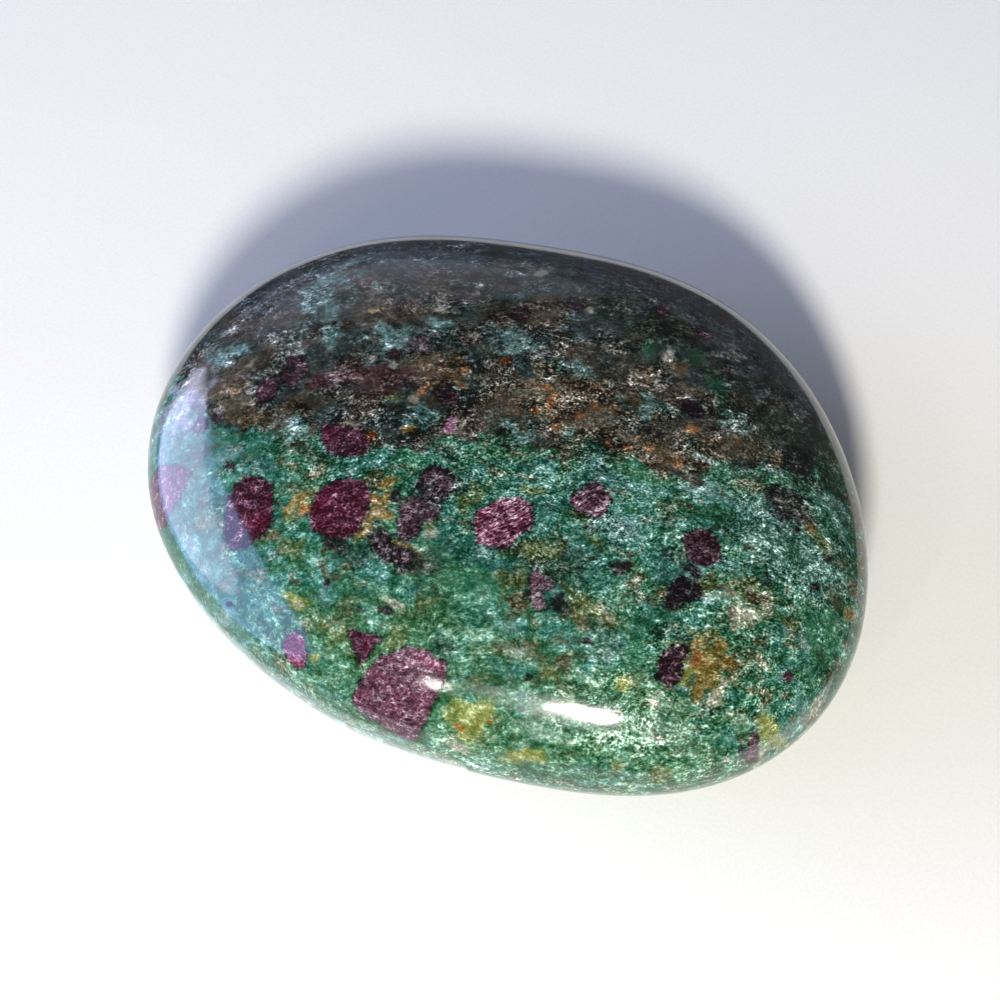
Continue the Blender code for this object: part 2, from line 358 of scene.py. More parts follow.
class StonePlaces:
    """Where each vertex of the skin is on the stone, in mm: its point, and its place on both maps."""

    def __init__(self, cube_points):
        even = np.tan(cube_points * math.pi / 4)
        directions = even / np.linalg.norm(even, axis=1)[:, None]
        self.angle = np.arctan2(directions[:, 1], directions[:, 0])
        self.reach = np.minimum(1, np.hypot(directions[:, 0], directions[:, 1]))
        self.on_crown = directions[:, 2] > 0
        self.radius = girdle_radius(self.angle)
        self.points = self.place()
        self.crown_map, self.belly_map = self.unroll()

    def place(self):
        rise = np.where(self.on_crown, CROWN_RISE_MM, -BELLY_DROP_MM)
        across = self.reach * self.radius
        height = GIRDLE_HEIGHT_MM + rise * np.sqrt(1 - self.reach**SECTION_POWER)
        resting = np.maximum(0, height)  # the flat face that it rests on
        points = np.stack([across * np.cos(self.angle), across * np.sin(self.angle), resting], axis=1)
        middle = (points.min(axis=0) + points.max(axis=0)) / 2
        points[:, :2] -= middle[:2]
        points[:, :2] *= INSIDE_CAD
        return points

    def arc(self, rise, tilt):
        """The way along the surface from the middle out to tilt, which is a right angle on the girdle."""
        steps = np.linspace(0, 1, ARC_STEPS)[:, None] * tilt
        across = self.radius * np.sin(steps)
        height = rise * np.sqrt(1 - np.sin(steps) ** SECTION_POWER)
        return np.hypot(np.diff(across, axis=0), np.diff(height, axis=0)).sum(axis=0)

    def unroll(self):
        tilt = np.arcsin(self.reach)
        whole = np.full(tilt.shape, math.pi / 2)
        crown_arc = self.arc(CROWN_RISE_MM, tilt)
        belly_arc = self.arc(BELLY_DROP_MM, tilt)
        whole_crown = self.arc(CROWN_RISE_MM, whole)
        whole_belly = self.arc(BELLY_DROP_MM, whole)
        from_crown = np.where(self.on_crown, crown_arc, whole_crown + whole_belly - belly_arc)
        from_belly = np.where(self.on_crown, whole_belly + whole_crown - crown_arc, belly_arc)
        ray = np.stack([np.cos(self.angle), np.sin(self.angle)], axis=1)
        return from_crown[:, None] * ray, from_belly[:, None] * ray


# The markings

def smooth_step(value, low, high):
    share = np.clip((value - low) / (high - low), 0, 1)
    return share * share * (3 - 2 * share)


def distance_inside(points, outline):
    """Signed distance to a closed outline, below 0 inside it."""
    corners = np.array(outline, float)
    nearest = np.full(len(points), np.inf)
    inside = np.zeros(len(points), bool)
    for start, end in zip(corners, np.roll(corners, -1, axis=0)):
        edge = end - start
        offset = points - start
        share = np.clip(offset @ edge / (edge @ edge), 0, 1)
        nearest = np.minimum(nearest, np.hypot(*(offset - share[:, None] * edge).T))
        spans = (start[1] > points[:, 1]) != (end[1] > points[:, 1])
        with np.errstate(divide="ignore", invalid="ignore"):
            crossing = start[0] + edge[0] * (points[:, 1] - start[1]) / edge[1]
        inside ^= spans & (points[:, 0] < crossing)
    return np.where(inside, -nearest, nearest)


def distance_beyond(points, seam):
    """Signed distance to a seam drawn from left to right, above 0 on its far side."""
    corners = np.array(seam, float)
    left, left_end = corners[0]
    far_left = left - FAR_OFF_MM
    right = corners[-1][0]
    far_corners = [(right, FAR_OFF_MM), (far_left, FAR_OFF_MM), (far_left, left_end)]
    return -distance_inside(points, list(seam) + far_corners)


def round_outline(along, across, radius, sides=8):
    """A small grain's outline."""
    turns = np.arange(sides) * 2 * math.pi / sides
    return [(along + radius * math.cos(t), across + radius * math.sin(t)) for t in turns]


def grown_outline(random, along, across, radius):
    """A ruby cut at some angle: an uneven six or seven sided outline."""
    fewest, most = BELLY_RUBY_SIDES
    sides = int(random.integers(fewest, most + 1))
    shifts = random.uniform(-BELLY_RUBY_CORNER_SHIFT, BELLY_RUBY_CORNER_SHIFT, sides)
    turns = (np.arange(sides) + shifts) * 2 * math.pi / sides
    reach = radius * random.uniform(*BELLY_RUBY_CORNER_REACH, sides)
    squeeze = random.uniform(*BELLY_RUBY_SQUEEZE)
    lean = random.uniform(0, math.pi)
    long_way = reach * np.cos(turns)
    short_way = squeeze * reach * np.sin(turns)
    x = along + long_way * math.cos(lean) - short_way * math.sin(lean)
    y = across + long_way * math.sin(lean) + short_way * math.cos(lean)
    return list(zip(x, y))


def place_in_disc(random, radius):
    far = radius * math.sqrt(random.uniform())
    turn = random.uniform(0, 2 * math.pi)
    return far * math.cos(turn), far * math.sin(turn)


def belly_rubies(random):
    """Rubies for the side that the photograph doesn't show, clear of each other."""
    rubies = []
    taken = []
    while len(rubies) < BELLY_RUBY_COUNT:
        low, high = BELLY_RUBY_RADII_MM
        radius = low + (high - low) * random.uniform() ** 2
        along, across = place_in_disc(random, BELLY_REACH_MM)
        room = [math.hypot(along - x, across - y) - r for x, y, r in taken]
        if min(room, default=FAR_OFF_MM) < radius + BELLY_RUBY_GAP_MM:
            continue
        taken.append((along, across, radius))
        redness, darkness, frost = random.uniform(*BELLY_RUBY_LOOKS)
        outline = grown_outline(random, along, across, radius)
        rubies.append((f"belly_{len(rubies)}", redness, darkness, frost, outline))
    return rubies


def belly_patches(random):
    patches = {}
    for kind, (count, longest) in BELLY_PATCH_COUNTS.items():
        rows = []
        for _ in range(count):
            along, across = place_in_disc(random, BELLY_REACH_MM)
            length = longest * random.uniform(*BELLY_PATCH_LENGTHS)
            width = length * random.uniform(*BELLY_PATCH_WIDTHS)
            lean = random.uniform(-BELLY_PATCH_LEAN, BELLY_PATCH_LEAN)
            rows.append((along, across, length, width, FOLIATION_TURN + lean))
        patches[kind] = rows
    return patches


def surface_warp(points):
    """Two smooth random fields from -1 to 1, which give the soft patches their uneven edges."""
    spots = [Vector(point) / WARP_SIZE_MM for point in points]
    along = [noise.noise(spot) for spot in spots]
    across = [noise.noise(spot + Vector(WARP_ASIDE)) for spot in spots]
    return np.array([along, across]).T * 2


def patch_field(places, warp, rows):
    """1 in the middle of the soft patches, 0.5 on their edges and 0 away from them."""
    field = np.zeros(len(places))
    for along, across, length, width, turn in rows:
        offset = places + warp * WARP_SHARE * width - (along, across)
        cosine, sine = math.cos(math.radians(turn)), math.sin(math.radians(turn))
        long_way = (offset[:, 0] * cosine + offset[:, 1] * sine) / length
        short_way = (offset[:, 1] * cosine - offset[:, 0] * sine) / width
        field = np.maximum(field, 1 - smooth_step(np.hypot(long_way, short_way), *PATCH_FADE))
    return field


def ruby_fields(places, rubies):
    """The signed distance to the nearest ruby, and that ruby's redness, darkness and frost."""
    distance = np.full(len(places), FARTHEST_MARK_MM)
    look = np.zeros((len(places), 3))
    for _, redness, darkness, frost, outline in rubies:
        reach = distance_inside(places, outline)
        nearer = reach < distance
        distance = np.where(nearer, reach, distance)
        look[nearer] = (redness, darkness, frost)
    return distance, look


def marking_fields(stone):
    """Every marking as one number for each vertex."""
    random = np.random.default_rng(SEED)
    dots = [
        ("grain", redness, darkness, 0.1, round_outline(along, across, radius))
        for along, across, radius, redness, darkness in CROWN_RUBY_DOTS
    ]
    height = stone.points[:, 2]
    on_crown = smooth_step(height, *MARKS_HANDOVER_MM)
    top, top_look = ruby_fields(stone.crown_map, list(CROWN_RUBIES) + dots)
    under, under_look = ruby_fields(stone.belly_map, belly_rubies(random))
    under = under + BELLY_RUBY_RETREAT_MM * on_crown
    fields = {"ruby": np.minimum(top, under)}
    look = np.where((under < top)[:, None], under_look, top_look)
    for column, name in enumerate(("redness", "darkness", "frost")):
        fields[name] = look[:, column]

    crown_share = smooth_step(height, *SEAM_HANDOVER_MM)
    crown_seam = np.clip(distance_beyond(stone.crown_map, CROWN_SEAM), -FARTHEST_MARK_MM, FARTHEST_MARK_MM)
    belly_seam = np.clip(distance_beyond(stone.belly_map, BELLY_SEAM), -FARTHEST_MARK_MM, FARTHEST_MARK_MM)
    fields["schist"] = crown_share * crown_seam + (1 - crown_share) * belly_seam

    warp = surface_warp(stone.points)
    hidden = belly_patches(random)
    for kind, rows in CROWN_PATCHES.items():
        top = patch_field(stone.crown_map, warp, rows)
        under = patch_field(stone.belly_map, warp, hidden[kind])
        fields[kind] = np.maximum(top, under * (1 - on_crown))
    return fields


def make_stone():
    mesh = skin_of_quads()
    stone = StonePlaces(vertex_points(mesh))
    mesh.vertices.foreach_set("co", (stone.points * MM).ravel())
    for name, values in marking_fields(stone).items():
        attribute = mesh.attributes.new(name, "FLOAT", "POINT")
        attribute.data.foreach_set("value", values.astype(np.float32))
    mesh.shade_smooth()
    mesh.update()
    piece = bpy.data.objects.new("ruby_in_fuchsite_stone", mesh)
    bpy.context.scene.collection.objects.link(piece)
    return piece


# The material

def seen(red, green, blue):
    """A colour as it looks, 0 to 255. Colours are mixed so, and made linear only at the end."""
    return (red / 255, green / 255, blue / 255, 1.0)


class Recipe:
    """Adds nodes to one material, so that its functions below read as steps."""

    def __init__(self, material):
        self.tree = material.node_tree

    def node(self, kind, **settings):
        made = self.tree.nodes.new(kind)
        for name, value in settings.items():
            setattr(made, name, value)
        return made

    def feed(self, socket, value):
        if isinstance(value, bpy.types.NodeSocket):
            self.tree.links.new(value, socket)
        else:
            socket.default_value = value

    def attribute(self, name):
        return self.node("ShaderNodeAttribute", attribute_name=name).outputs["Fac"]

    def math(self, operation, first, second=0.0):
        made = self.node("ShaderNodeMath", operation=operation)
        self.feed(made.inputs[0], first)
        self.feed(made.inputs[1], second)
        return made.outputs[0]

    def add(self, *values):
        total = values[0]
        for value in values[1:]:
            total = self.math("ADD", total, value)
        return total

    def times(self, *values):
        product = values[0]
        for value in values[1:]:
            product = self.math("MULTIPLY", product, value)
        return product

    def swing(self, value, width):
        """Noise from 0 to 1 as a number about 0, from -width / 2 to width / 2."""
        return self.times(self.add(value, -0.5), width)

    def step(self, value, low, high, start=0.0, end=1.0):
        made = self.node("ShaderNodeMapRange", interpolation_type="SMOOTHSTEP")
        for socket, given in zip(made.inputs, (value, low, high, start, end)):
            self.feed(socket, given)
        return made.outputs[0]

    def between(self, share, first, second):
        made = self.node("ShaderNodeMix", data_type="FLOAT")
        self.feed(made.inputs[0], share)
        self.feed(made.inputs[2], first)
        self.feed(made.inputs[3], second)
        return made.outputs[0]

    def mix(self, share, first, second, blend="MIX"):
        made = self.node("ShaderNodeMix", data_type="RGBA", blend_type=blend)
        self.feed(made.inputs[0], share)
        self.feed(made.inputs[6], first)
        self.feed(made.inputs[7], second)
        return made.outputs[2]

    def ramp(self, value, stops):
        """A colour that runs through the stops, each a place from 0 to 1 and a colour."""
        made = self.node("ShaderNodeValToRGB")
        self.feed(made.inputs["Fac"], value)
        points = made.color_ramp.elements
        while len(points) < len(stops):
            points.new(1)
        for point, (place, colour) in zip(points, stops):
            point.position = place
            point.color = seen(*colour)
        return made.outputs["Color"]

    def noise(self, place, size, detail=0.0, roughness=0.5):
        """Smooth noise from 0 to 1, whose blobs are about size mm across."""
        made = self.node("ShaderNodeTexNoise", noise_dimensions="3D")
        self.feed(made.inputs["Vector"], place)
        self.feed(made.inputs["Scale"], 1 / size)
        self.feed(made.inputs["Detail"], detail)
        self.feed(made.inputs["Roughness"], roughness)
        return made.outputs["Fac"]

    def flakes(self, place, size):
        """Cells about size mm across, each with its own number from 0 to 1."""
        made = self.node("ShaderNodeTexVoronoi", voronoi_dimensions="3D")
        self.feed(made.inputs["Vector"], place)
        self.feed(made.inputs["Scale"], 1 / size)
        parts = self.node("ShaderNodeSeparateColor")
        self.feed(parts.inputs[0], made.outputs["Color"])
        return parts.outputs[0]


def place_in_mm(recipe, turn=0, stretch=1.0, sway=0.0):
    """The place on the stone in mm, turned about the upright, with its first axis drawn out.

    Sway is how far, in mm, a slow noise moves it, so that straight grain becomes wavy.
    """
    place = recipe.node("ShaderNodeTexCoord").outputs["Object"]
    in_mm = recipe.node("ShaderNodeVectorMath", operation="SCALE")
    recipe.feed(in_mm.inputs[0], place)
    in_mm.inputs["Scale"].default_value = 1 / MM
    place = in_mm.outputs[0]
    if sway:
        slow = recipe.node("ShaderNodeTexNoise", noise_dimensions="3D")
        recipe.feed(slow.inputs["Vector"], place)
        slow.inputs["Scale"].default_value = 1 / SWAY_SIZE_MM
        swayed = recipe.node("ShaderNodeVectorMath", operation="MULTIPLY_ADD")
        recipe.feed(swayed.inputs[0], slow.outputs["Color"])
        swayed.inputs[1].default_value = (sway, sway, sway)
        recipe.feed(swayed.inputs[2], place)
        place = swayed.outputs[0]
    mapping = recipe.node("ShaderNodeMapping", vector_type="TEXTURE")
    recipe.feed(mapping.inputs["Vector"], place)
    mapping.inputs["Rotation"].default_value = (0, 0, math.radians(turn))
    mapping.inputs["Scale"].default_value = (stretch, 1, 1)
    return mapping.outputs[0]


# Each mineral's own colour, without the light and shade of its grains.
FUCHSITE_HUES = (
    (0.32, (84, 86, 64)), (0.42, (54, 94, 70)), (0.5, (55, 101, 83)), (0.58, (65, 112, 99)),
    (0.68, (92, 124, 117)),
)
SCHIST_HUES = ((0.38, (64, 57, 48)), (0.5, (54, 55, 48)), (0.62, (46, 56, 53)))
EARTH = (82, 80, 60)
LEAF = (50, 100, 72)
LEAF_IN_SCHIST = (30, 70, 52)
MICA = (92, 122, 116)
# Each kind of patch: its colour, how far it covers the ground, how much of the grains' light it keeps,
# and how soft its edge is. Most are the rock's own stains; pale is a painted reflection of the bluish window,
# and bright is partly the rock's lighter ground and partly painted sheen round the front glint.
STAINS_AND_PAINTED_SHEEN = {
    "spring": ((66, 100, 67), 0.7, 1.0, 1.0), "deep": ((32, 78, 60), 0.75, 0.9, 1.0),
    "shade": ((30, 44, 34), 0.6, 0.8, 1.0), "bright": ((138, 164, 144), 0.65, 1.1, 1.0),
    "pale": ((148, 142, 152), 0.75, 0.8, 1.0), "slate": ((60, 66, 76), 0.6, 1.0, 1.0),
    "rust": ((76, 70, 54), 0.75, 1.0, 1.0), "olive": ((88, 96, 58), 0.7, 1.0, 0.9),
    "gold": ((130, 130, 70), 0.8, 0.8, 0.9), "ochre": ((122, 100, 54), 0.85, 0.8, 0.8),
    "orange": ((134, 82, 42), 0.7, 0.8, 0.8), "plum": ((60, 36, 38), 0.8, 0.6, 0.9),
    "dark": ((32, 34, 31), 0.9, 0.6, 0.6), "cream": ((150, 146, 130), 0.8, 1.0, 0.9),
}
CONTACT = (24, 24, 22)
RUST_VEIN = (112, 78, 46)
RUBY_RED = (48, 0, 17)  # added to the greyest ruby to make the reddest
DARKEST = (5, 5, 5)
DISPLAY_GAMMA = 2.2

# Noises, each with its blobs' size in mm, how many finer layers it has, and how strong these are.
RUFFLE = (0.7, 3, 0.7)  # tears the edges of the patches
HUE = (2.6, 2, 0.5)  # runs through the hues of a rock
SPECKLE = (1.5, 3, 0.65)  # strews the fuchsite with earthy specks
SEAM_TEAR = (1.8, 5, 0.75)
MICA_FLECKS = (0.45, 2, 0.5)
SCHIST_PATCHES = (2.2, 1, 0.5)  # where the schist is plain and where it glitters
VEINS = (1.2, 3, 0.6)
RUBY_DRIFT = (1.1, 2, 0.6)
RUBY_RIPPLE = (0.6, 3, 0.7)  # roughens the rubies' outlines
HAZE = (3.0, 2, 0.5)
WAVES = (5.0, 1, 0.5)
RIPPLES = (0.4, 1, 0.5)
RUFFLE_WIDTH = 1.3
SEAM_TEAR_WIDTH_MM = 12.0
RUBY_RIPPLE_WIDTH_MM = 1.1
WAVES_WIDTH_MM = 0.07
RIPPLES_WIDTH_MM = 0.0035
RUBY_RISE_MM = 0.003
POLISH_ROUGHNESS = (0.08, 0.14)
STONE_IOR = 1.62
PATCH_MIDDLE = 0.55  # a patch ends where its attribute, torn by the ruffle, falls to this

# How the minerals lie over each other. An edge is where a mask starts and where it is full, and may be
# followed by what the mask gives there. A share is how far one colour covers another.
EARTH_EDGE = (0.55, 0.64)
EARTH_SHARE = 0.65
SCHIST_EDGE_MM = (-0.6, 0.6)
MICA_BITE_MM = 1.0  # how far mica pushes the seam back
LEAF_BITE_MM = 1.5
LEAF_SHARE = 0.85
MICA_SHARE_IN_GREEN = 0.6
MICA_FLECKS_EDGE = (0.35, 0.53, 0.4, 0.95)
SCHIST_GLITTER_EDGE = (0.36, 0.64, 0.45, 1.25)
LEAF_DULLING = 0.25
MICA_GLITTER = 0.4
VEIN_EDGE = (0.04, 0.0)
VEIN_SHARE = 0.55
CALM_EDGE = (0.1, 0.9, 1.0, 0.5)
RUBY_EDGE_MM = (0.1, -0.1)
RUBY_SPARKLE = 0.7
CONTACT_EDGE_MM = (0.4, 0.05)
CONTACT_SHARE = 0.45
RUBY_GREYS = (0.4, 0.06)  # of the palest ruby and of the darkest
RUBY_GRAINS = (0.4, 1.05)  # how strong they are in a clear polish and in a frosted one
FROST_EDGE = (0.5, 0.85)

# Scratches in the rubies' polish: their direction, the gap between them and how much light they add.
CLOSE_SCRATCH_TURN = 57
CLOSE_SCRATCH_GAP_MM = 0.4
CLOSE_SCRATCH_LIGHT = 0.36
FEW_SCRATCH_TURNS = (20, 78)
FEW_SCRATCH_GAP_MM = 0.6
FEW_SCRATCH_LIGHT = 0.2
SCRATCH_STRETCH = 9.0  # lines are this much longer than the noise that draws them is wide
SCRATCH_WIDTH = 0.045  # as a share of that noise's height

# How strongly grains of each size stand out, in mm: where the stone is dull, and where it sparkles.
GRAINS = ((0.15, 0.34, 0.72), (0.3, 0.34, 0.46), (0.8, 0.34, 0.38), (3.0, 0.26, 0.28))
# Mica flakes, each of one brightness: their size in mm, and how strongly they stand out.
FLAKES = (0.36, 0.1, 0.16)
FLAKE_CURVES = (0.26, 0.38)  # the smaller, the more the light flakes stand out from the dark gaps
MIDDLING_GRAIN = 1.06  # the curved light of a middling grain, which leaves the mineral's colour as it is


def grain_light(recipe, grains, sparkle):
    """The light and shade of the grains, to be added to a mineral's own colour."""
    layers = [
        recipe.swing(recipe.noise(grains, size), recipe.between(sparkle, dull, bright))
        for size, dull, bright in GRAINS
    ]
    size, dull, bright = FLAKES
    flakes = recipe.swing(recipe.flakes(grains, size), recipe.between(sparkle, dull, bright))
    curve = recipe.between(sparkle, *FLAKE_CURVES)
    curved = recipe.math("EXPONENT", recipe.math("DIVIDE", recipe.add(flakes, *layers), curve))
    return recipe.times(recipe.add(curved, -MIDDLING_GRAIN), curve)


def ragged(recipe, kind, ruffle, softness=0.9):
    """A soft patch as a mask with a torn edge. Ruffle is a number about 0."""
    torn = recipe.add(recipe.attribute(kind), ruffle)
    return recipe.step(torn, PATCH_MIDDLE - softness / 2, PATCH_MIDDLE + softness / 2)


def ground_colour(recipe, grains):
    """Green fuchsite on one side of the seam and brown schist on the other, with their stains, a painted
    reflection and painted sheen.

    Gives the colour, and how much of the grains' light and shade it takes.
    """
    ruffle = recipe.swing(recipe.noise(grains, *RUFFLE), RUFFLE_WIDTH)
    hue = recipe.noise(grains, *HUE)
    speckle = recipe.noise(grains, *SPECKLE)
    mica = ragged(recipe, "mica", ruffle)
    leaf = ragged(recipe, "emerald", ruffle)

    green = recipe.ramp(hue, FUCHSITE_HUES)
    green = recipe.mix(recipe.times(recipe.step(speckle, *EARTH_EDGE), EARTH_SHARE), green, seen(*EARTH))

    tear = recipe.swing(recipe.noise(grains, *SEAM_TEAR), SEAM_TEAR_WIDTH_MM)
    seam = recipe.add(
        recipe.attribute("schist"), tear,
        recipe.times(mica, -MICA_BITE_MM), recipe.times(leaf, -LEAF_BITE_MM))
    schist = recipe.step(seam, *SCHIST_EDGE_MM)
    colour = recipe.mix(schist, green, recipe.ramp(hue, SCHIST_HUES))
    leafy = recipe.mix(schist, seen(*LEAF), seen(*LEAF_IN_SCHIST))
    colour = recipe.mix(recipe.times(leaf, LEAF_SHARE), colour, leafy)
    flecks = recipe.step(recipe.noise(grains, *MICA_FLECKS), *MICA_FLECKS_EDGE)
    mica_share = recipe.between(schist, MICA_SHARE_IN_GREEN, flecks)
    colour = recipe.mix(recipe.times(mica, mica_share), colour, seen(*MICA))

    patchy = recipe.step(recipe.noise(grains, *SCHIST_PATCHES), *SCHIST_GLITTER_EDGE)
    strength = recipe.between(schist, 1.0, patchy)
    strength = recipe.add(strength, recipe.times(leaf, -LEAF_DULLING), recipe.times(mica, MICA_GLITTER))
    # The pale patches mixed in here are a painted reflection, and the bright ones are partly painted sheen.
    for kind, (stain_and_sheen, share, kept_light, softness) in STAINS_AND_PAINTED_SHEEN.items():
        mask = recipe.times(ragged(recipe, kind, ruffle, softness), share)
        colour = recipe.mix(mask, colour, seen(*stain_and_sheen))
        strength = recipe.times(strength, recipe.between(mask, 1.0, kept_light))
    vein = recipe.math("ABSOLUTE", recipe.add(recipe.noise(grains, *VEINS), -0.5))
    rusty = recipe.times(ragged(recipe, "rust", ruffle), recipe.step(vein, *VEIN_EDGE))
    colour = recipe.mix(recipe.times(rusty, VEIN_SHARE), colour, seen(*RUST_VEIN))
    strength = recipe.times(strength, recipe.step(recipe.attribute("calm"), *CALM_EDGE))
    return colour, strength


def ruby_colour(recipe, place):
    """Plum to crimson, and how much light and shade it takes: frost is how scratched its polish is."""
    drift = recipe.noise(place, *RUBY_DRIFT)
    # glow paints light shining into the rubies: they are redder and a little lighter there
    glow = recipe.attribute("glow")
    frost = recipe.attribute("frost")
    redness = recipe.add(recipe.attribute("redness"), recipe.swing(drift, 0.9), recipe.times(glow, 0.35))
    redness = recipe.math("MAXIMUM", redness, 0.0)
    level = recipe.add(
        recipe.between(recipe.attribute("darkness"), *RUBY_GREYS), recipe.times(redness, -0.06),
        recipe.swing(drift, 0.12), recipe.times(glow, 0.04))
    tint = recipe.mix(redness, seen(0, 0, 0), seen(*RUBY_RED))
    light = recipe.add(level, scratches(recipe, frost))
    return recipe.mix(1.0, tint, light, "ADD"), recipe.between(frost, *RUBY_GRAINS)


def scratch_lines(recipe, turn, gap):
    """Thin, long, wavering lines along one direction: 1 in the middle of each."""
    swell = recipe.noise(place_in_mm(recipe, turn, SCRATCH_STRETCH), gap, detail=1)
    return recipe.step(recipe.math("ABSOLUTE", recipe.add(swell, -0.5)), SCRATCH_WIDTH, 0.0)


def scratches(recipe, frost):
    """Fine pale lines: close and parallel on the frostiest rubies, and a few on the others."""
    close = scratch_lines(recipe, CLOSE_SCRATCH_TURN, CLOSE_SCRATCH_GAP_MM)
    close = recipe.times(close, recipe.step(frost, *FROST_EDGE, 0.0, CLOSE_SCRATCH_LIGHT))
    patchy = recipe.noise(place_in_mm(recipe), 0.8)
    lines = [recipe.times(close, recipe.step(patchy, 0.3, 0.6, 0.3, 1.0))]
    for turn in FEW_SCRATCH_TURNS:
        few = recipe.times(scratch_lines(recipe, turn, FEW_SCRATCH_GAP_MM), recipe.step(patchy, 0.5, 0.65))
        lines.append(recipe.times(few, FEW_SCRATCH_LIGHT))
    return recipe.add(*lines)


def inlaid_colour(recipe, grains, place):
    """The ground with the rubies set in it, each inside a thin dark contact, and the rubies' edge."""
    ripple = recipe.noise(place, *RUBY_RIPPLE)
    edge = recipe.add(recipe.attribute("ruby"), recipe.swing(ripple, RUBY_RIPPLE_WIDTH_MM))
    inside = recipe.step(edge, *RUBY_EDGE_MM)
    sparkle = recipe.between(inside, recipe.attribute("sparkle"), RUBY_SPARKLE)
    ground, ground_strength = ground_colour(recipe, grains)
    contact = recipe.times(recipe.step(edge, *CONTACT_EDGE_MM), CONTACT_SHARE)
    ground = recipe.mix(contact, ground, seen(*CONTACT))
    ruby, ruby_strength = ruby_colour(recipe, place)
    colour = recipe.mix(inside, ground, ruby)
    strength = recipe.between(inside, ground_strength, ruby_strength)
    light = recipe.times(grain_light(recipe, grains, sparkle), strength)
    colour = recipe.mix(1.0, colour, light, "ADD")
    darkest = recipe.mix(1.0, colour, seen(*DARKEST), "LIGHTEN")
    linear = recipe.node("ShaderNodeGamma")
    recipe.feed(linear.inputs["Color"], darkest)
    linear.inputs["Gamma"].default_value = DISPLAY_GAMMA
    return linear.outputs["Color"], edge


def stone_material():
    material = bpy.data.materials.new("polished_ruby_in_fuchsite")
    material.use_nodes = True
    recipe = Recipe(material)
    shader = material.node_tree.nodes["Principled BSDF"]
    grains = place_in_mm(recipe, FOLIATION_TURN, GRAIN_STRETCH, GRAIN_SWAY_MM)
    place = place_in_mm(recipe)
    colour, edge = inlaid_colour(recipe, grains, place)
    recipe.feed(shader.inputs["Base Color"], colour)

    haze = recipe.noise(place, *HAZE)
    recipe.feed(shader.inputs["Roughness"], recipe.step(haze, 0.3, 0.7, *POLISH_ROUGHNESS))
    shader.inputs["IOR"].default_value = STONE_IOR

    waves = recipe.swing(recipe.noise(place, *WAVES), WAVES_WIDTH_MM)
    ripples = recipe.swing(recipe.noise(grains, *RIPPLES), RIPPLES_WIDTH_MM)
    raised = recipe.step(edge, 0.3, -0.3, 0.0, RUBY_RISE_MM)
    bump = recipe.node("ShaderNodeBump")
    recipe.feed(bump.inputs["Height"], recipe.add(waves, ripples, raised))  # in mm
    bump.inputs["Distance"].default_value = MM
    recipe.feed(shader.inputs["Normal"], bump.outputs[0])
    return material


# The studio

FLOOR_HALF_WIDTH = 2.0
FLOOR_DROP = 0.02 * MM  # the wide floor is this far under the disc round the stone
NEAR_FLOOR_RADIUS = 0.064
NEAR_FLOOR_SIDES = 96
CARD_HEIGHT = 1 * MM
FLOOR_ROUGHNESS = 0.9
FLOOR_SPECULAR = 0.1
PAPER = (0.3, 3, 0.5)  # the noise of the floor's grain
FLOOR_GLOW_MM = (180, 700)  # far from the lamps the floor glows a little, so that it stays pale
FLOOR_GLOW = 0.8
FLOOR_TONES = ((0.84, 0.83, 0.78, 1.0), (0.88, 0.87, 0.82, 1.0))  # warm, to balance the window's blue
WORLD_COLOUR = (0.86, 0.9, 1.0, 1.0)
WORLD_STRENGTH = 0.13
PALE = (0.96, 0.96, 1.0)
LAMPLIGHT = (1.0, 0.97, 0.92)
# Upright ovals, partly below the floor: azimuth, distance, middle's height, width, height, radiance, colour.
WINDOWS = {
    "window": (-64, 0.6, 0.1, 0.96, 0.76, 3.2, (0.39, 0.53, 1.0)),
    "window_bright": (-76, 0.6, 0.08, 0.74, 0.5, 2.1, (0.84, 0.8, 1.0)),
}
# Oval cards flat on the floor, that only shine in the rims: azimuth, distance, width, depth, radiance.
CARDS = {
    "front_card": (-45, 0.021, 0.056, 0.03, 0.8),
    "right_card": (78, 0.06, 0.036, 0.036, 0.7),
}
# Lamps aimed at the stone: azimuth, elevation, distance, roll, width, height, radiance and colour.
LAMPS = {
    "front_lamp": (24, 37.5, 0.5, -42, 0.09, 0.06, 181.0, LAMPLIGHT),
    "front_halo": (20, 34.5, 0.52, -42, 0.27, 0.16, 1.9, LAMPLIGHT),
    "spark": (0, 34, 0.5, 0, 0.014, 0.08, 34.0, LAMPLIGHT),
    "back_glow": (220, 22, 0.7, 0, 0.5, 0.34, 0.42, (0.74, 0.8, 1.0)),
    "back_haze": (232, 10, 0.8, 0, 0.95, 0.4, 0.25, (0.62, 0.7, 1.0)),
}


def floor_material():
    material = bpy.data.materials.new("pale_floor")
    material.use_nodes = True
    recipe = Recipe(material)
    shader = material.node_tree.nodes["Principled BSDF"]
    place = place_in_mm(recipe)
    paper = recipe.noise(place, *PAPER)
    tone = recipe.mix(recipe.step(paper, 0.3, 0.7), *FLOOR_TONES)
    recipe.feed(shader.inputs["Base Color"], tone)
    shader.inputs["Roughness"].default_value = FLOOR_ROUGHNESS
    shader.inputs["Specular IOR Level"].default_value = FLOOR_SPECULAR
    away = recipe.node("ShaderNodeVectorMath", operation="LENGTH")
    recipe.feed(away.inputs[0], place)
    shader.inputs["Emission Color"].default_value = FLOOR_TONES[1]
    glow = recipe.step(away.outputs["Value"], *FLOOR_GLOW_MM, 0.0, FLOOR_GLOW)
    recipe.feed(shader.inputs["Emission Strength"], glow)
    return material


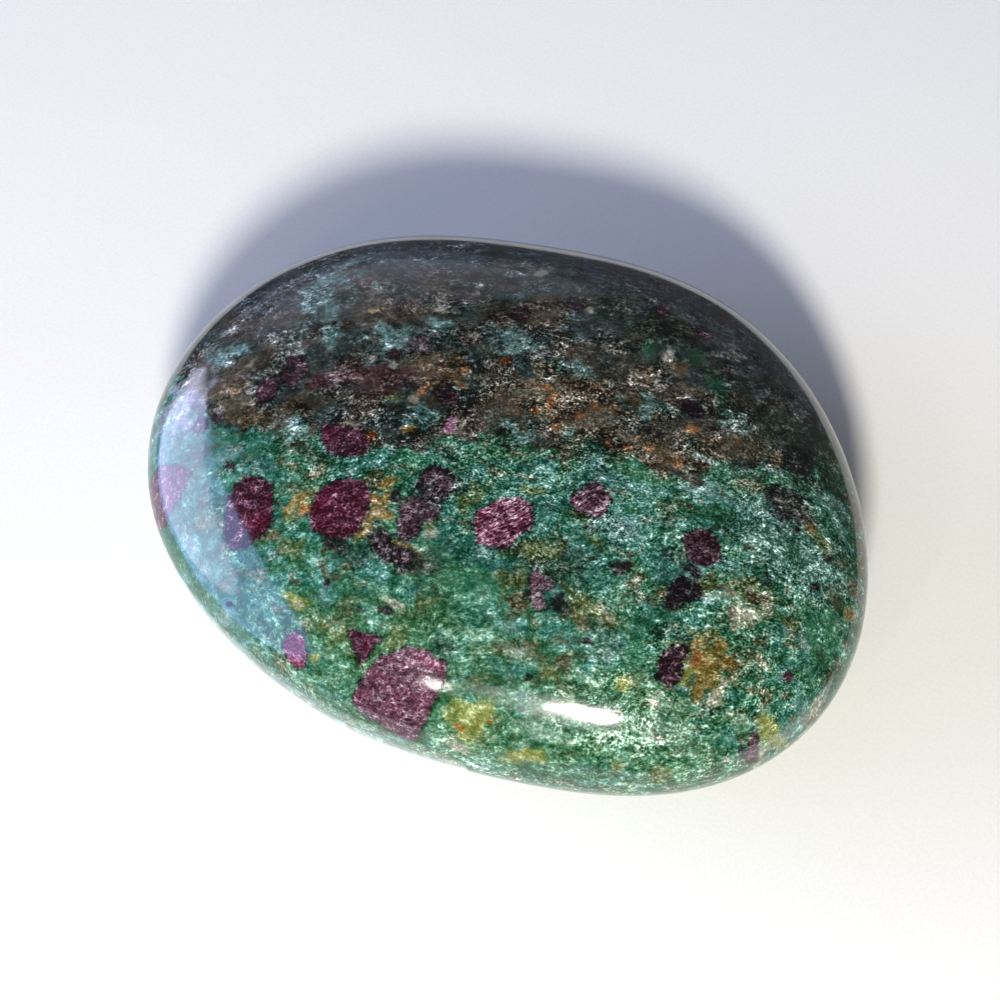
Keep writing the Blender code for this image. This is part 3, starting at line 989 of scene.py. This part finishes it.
def make_floor():
    """A wide floor, and a disc of it round the stone, which only the polish reflects."""
    material = floor_material()
    bpy.ops.mesh.primitive_plane_add(size=2 * FLOOR_HALF_WIDTH, location=(0, 0, -FLOOR_DROP))
    floor = bpy.context.object
    floor.name = "floor"
    floor.visible_glossy = False
    bpy.ops.mesh.primitive_circle_add(
        vertices=NEAR_FLOOR_SIDES, radius=NEAR_FLOOR_RADIUS, fill_type="NGON")
    near_floor = bpy.context.object
    near_floor.name = "near_floor"
    near_floor.visible_camera = False
    near_floor.visible_diffuse = False
    near_floor.visible_shadow = False
    for part in (floor, near_floor):
        part.data.materials.append(material)


def direction_to(azimuth, elevation):
    """Towards a place round the stone: azimuth 0 is the front, and 90 the right."""
    turn, lift = math.radians(azimuth), math.radians(elevation)
    return Vector((math.sin(turn) * math.cos(lift), -math.cos(turn) * math.cos(lift), math.sin(lift)))


def aim_at(obj, target):
    obj.rotation_euler = (Vector(target) - obj.location).to_track_quat("-Z", "Y").to_euler()


def make_light(name, width, height, radiance, colour, shape="RECTANGLE"):
    light = bpy.data.lights.new(name, "AREA")
    light.shape = shape
    light.size = width
    light.size_y = height
    light.energy = radiance * math.pi * width * height
    light.color = colour
    lamp = bpy.data.objects.new(name, light)
    bpy.context.scene.collection.objects.link(lamp)
    return lamp


def make_window(name, azimuth, distance, middle, width, height, radiance, colour):
    window = make_light(name, width, height, radiance, colour, "ELLIPSE")
    window.location = direction_to(azimuth, 0) * distance + Vector((0, 0, middle))
    aim_at(window, (0, 0, middle))


def make_card(name, azimuth, distance, width, depth, radiance):
    card = make_light(name, width, depth, radiance, PALE, "ELLIPSE")
    card.visible_diffuse = False
    card.location = direction_to(azimuth, 0) * distance + Vector((0, 0, CARD_HEIGHT))
    card.rotation_euler = (math.pi, 0, math.radians(azimuth))  # it shines upwards


def make_lamp(name, azimuth, elevation, distance, roll, width, height, radiance, colour):
    lamp = make_light(name, width, height, radiance, colour, "ELLIPSE")
    lamp.location = Vector(CAMERA_AIM) + direction_to(azimuth, elevation) * distance
    aim_at(lamp, CAMERA_AIM)
    lamp.rotation_euler.rotate_axis("Z", math.radians(roll))


def make_world():
    world = bpy.data.worlds.new("dim_room")
    world.use_nodes = True
    background = world.node_tree.nodes["Background"]
    background.inputs["Color"].default_value = WORLD_COLOUR
    background.inputs["Strength"].default_value = WORLD_STRENGTH
    bpy.context.scene.world = world


def make_camera():
    data = bpy.data.cameras.new("photo_view")
    data.lens = CAMERA_LENS_MM
    data.clip_start = CAMERA_CLIP_START
    camera = bpy.data.objects.new("photo_view", data)
    bpy.context.scene.collection.objects.link(camera)
    camera.location = Vector(CAMERA_AIM) + direction_to(CAMERA_AZIMUTH, CAMERA_ELEVATION) * CAMERA_DISTANCE
    aim_at(camera, CAMERA_AIM)
    bpy.context.scene.camera = camera


stone = make_stone()
stone.data.materials.append(stone_material())
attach(stone, "root")
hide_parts("palm_stone")
make_floor()
make_world()
for name, settings in WINDOWS.items():
    make_window(name, *settings)
for name, settings in CARDS.items():
    make_card(name, *settings)
for name, settings in LAMPS.items():
    make_lamp(name, *settings)
make_camera()
bpy.context.scene.view_settings.view_transform = "Standard"
